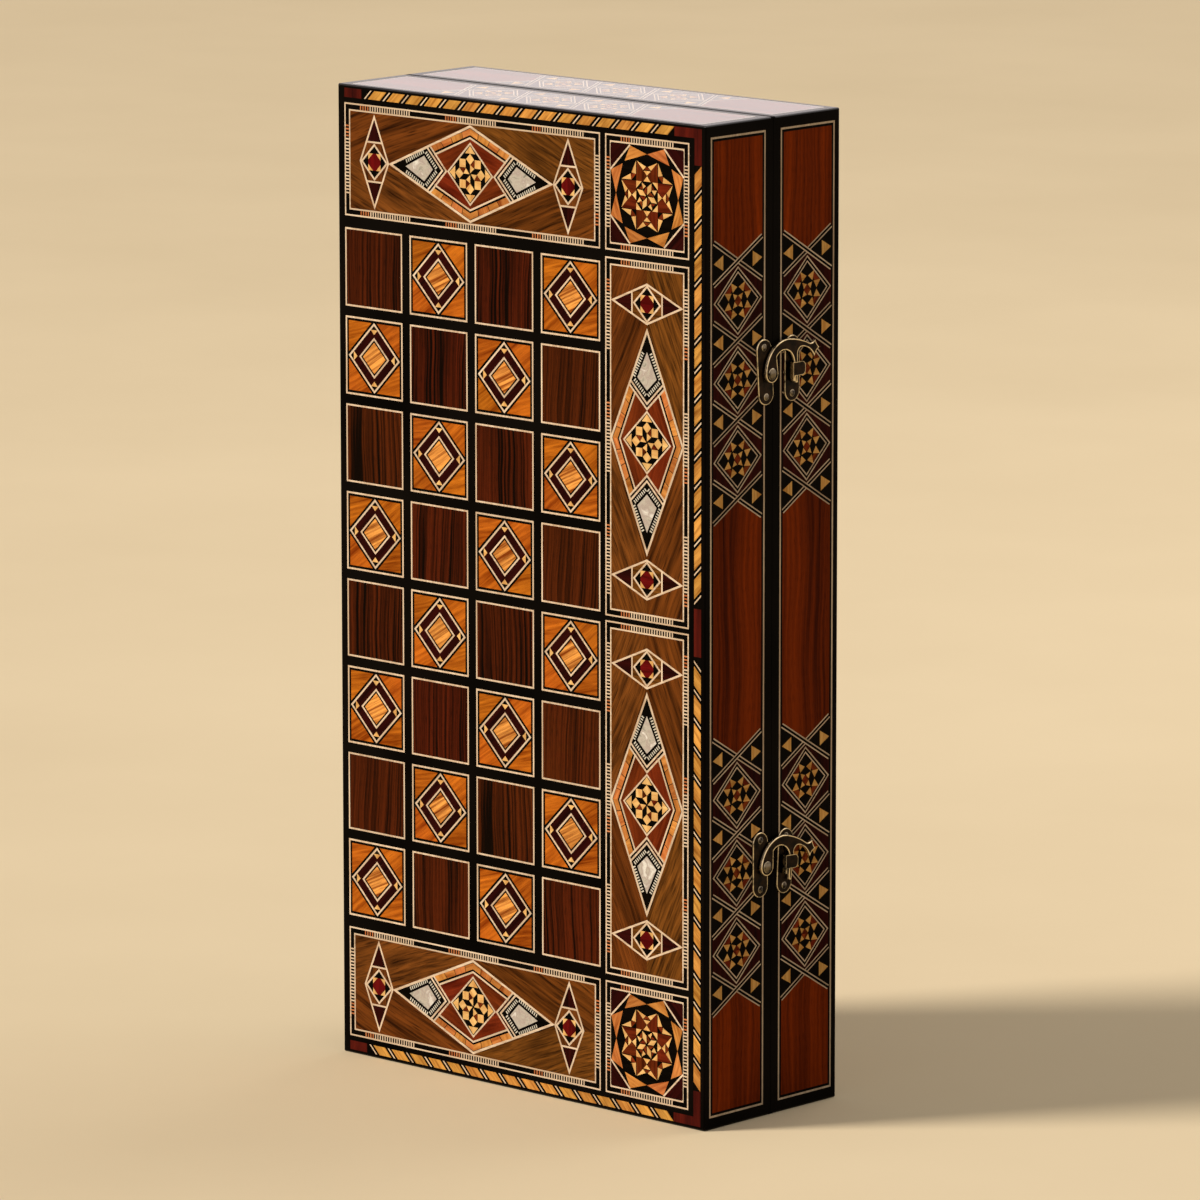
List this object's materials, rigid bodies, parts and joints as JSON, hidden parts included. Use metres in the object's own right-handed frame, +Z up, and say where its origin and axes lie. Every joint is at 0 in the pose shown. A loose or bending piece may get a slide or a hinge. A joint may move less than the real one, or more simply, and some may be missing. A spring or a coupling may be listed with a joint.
{
  "type": "backgammon board",
  "caption": "Folding backgammon case with marquetry faces, swing latches and butt hinges, opening flat to an inlaid field with scalloped rests that hold its checkers and dice.",
  "frame": {"origin": "middle of the foot end that the closed case stands on, in the plane of its seam", "axes": "+Z up along the length of the case, +X towards the latched side, -Y towards the front half's outer face"},
  "size_m": [0.2568, 0.098, 0.5],
  "materials": {
    "walnut_rail": "satin lacquer",
    "ebonised_sheet": "gloss lacquer over ebonised wood",
    "base_board": "plain plywood",
    "dark_square": "gloss lacquer over rosewood",
    "light_square": "gloss lacquer over marquetry",
    "walnut_panel": "gloss lacquer over marquetry",
    "star_panel": "gloss lacquer over marquetry",
    "rope_banding": "gloss lacquer over banding",
    "padauk_veneer": "gloss lacquer over padauk",
    "side_panel": "gloss lacquer over marquetry",
    "field_veneer": "satin lacquer over walnut veneer",
    "dark_point": "satin lacquer",
    "light_point": "satin lacquer",
    "rest_wood": "satin lacquer",
    "light_checker": "waxed maple",
    "dark_checker": "waxed dark wood",
    "dice_bone": "polished",
    "hinge_brass": "polished, lacquered",
    "hinge_steel": "plain",
    "latch_bronze": "antique bronze, worn on the edges"
  },
  "bodies": {
    "front_half": {"front_hinge_rail": "walnut_rail", "front_latch_rail": "walnut_rail", "front_top_rail": "walnut_rail", "front_foot_rail": "walnut_rail", "front_base_board": "base_board", "front_outer_sheet": "ebonised_sheet", "front_dark_squares": "dark_square", "front_light_squares": "light_square", "front_wide_panels": "walnut_panel", "front_corner_panels": "star_panel", "front_long_panels": "walnut_panel", "front_rope_banding": "rope_banding", "front_banding_blocks": "padauk_veneer", "front_latch_side_panel": "side_panel", "front_end_panels": "side_panel", "front_field_veneer": "field_veneer", "front_dark_points": "dark_point", "front_light_points": "light_point", "front_checker_rests": "rest_wood", "front_hinge_screws": "hinge_brass", "front_hinge_leaves": "hinge_brass", "hinge_pins": "hinge_steel", "upper_hook_plate": "latch_bronze", "lower_hook_plate": "latch_bronze", "upper_rivet": "latch_bronze", "lower_rivet": "latch_bronze", "hook_plate_nails": "latch_bronze", "light_checkers": "light_checker", "dice": "dice_bone"},
    "back_half": {"back_hinge_rail": "walnut_rail", "back_latch_rail": "walnut_rail", "back_top_rail": "walnut_rail", "back_foot_rail": "walnut_rail", "back_base_board": "base_board", "back_outer_sheet": "ebonised_sheet", "back_dark_squares": "dark_square", "back_light_squares": "light_square", "back_wide_panels": "walnut_panel", "back_corner_panels": "star_panel", "back_long_panels": "walnut_panel", "back_rope_banding": "rope_banding", "back_banding_blocks": "padauk_veneer", "back_latch_side_panel": "side_panel", "back_end_panels": "side_panel", "back_field_veneer": "field_veneer", "back_dark_points": "dark_point", "back_light_points": "light_point", "back_checker_rests": "rest_wood", "back_hinge_screws": "hinge_brass", "back_hinge_leaves": "hinge_brass", "upper_strike_plate": "latch_bronze", "lower_strike_plate": "latch_bronze", "strike_plate_nails": "latch_bronze", "dark_checkers": "dark_checker"},
    "upper_hook": {"upper_hook": "latch_bronze"},
    "lower_hook": {"lower_hook": "latch_bronze"}
  },
  "joints": [
    {"name": "board_hinge", "type": "hinge", "parent": "front_half", "child": "back_half", "pos_m": [-0.1253, 0, 0.25], "axis": [0, 0, 1], "range_deg": [0, 180]},
    {"name": "upper_hook_pivot", "type": "hinge", "parent": "front_half", "child": "upper_hook", "pos_m": [0.1273, -0.00342, 0.37369], "axis": [1, 0, 0], "range_deg": [0, 165]},
    {"name": "lower_hook_pivot", "type": "hinge", "parent": "front_half", "child": "lower_hook", "pos_m": [0.1273, -0.006, 0.1272], "axis": [1, 0, 0], "range_deg": [0, 165]}
  ]
}
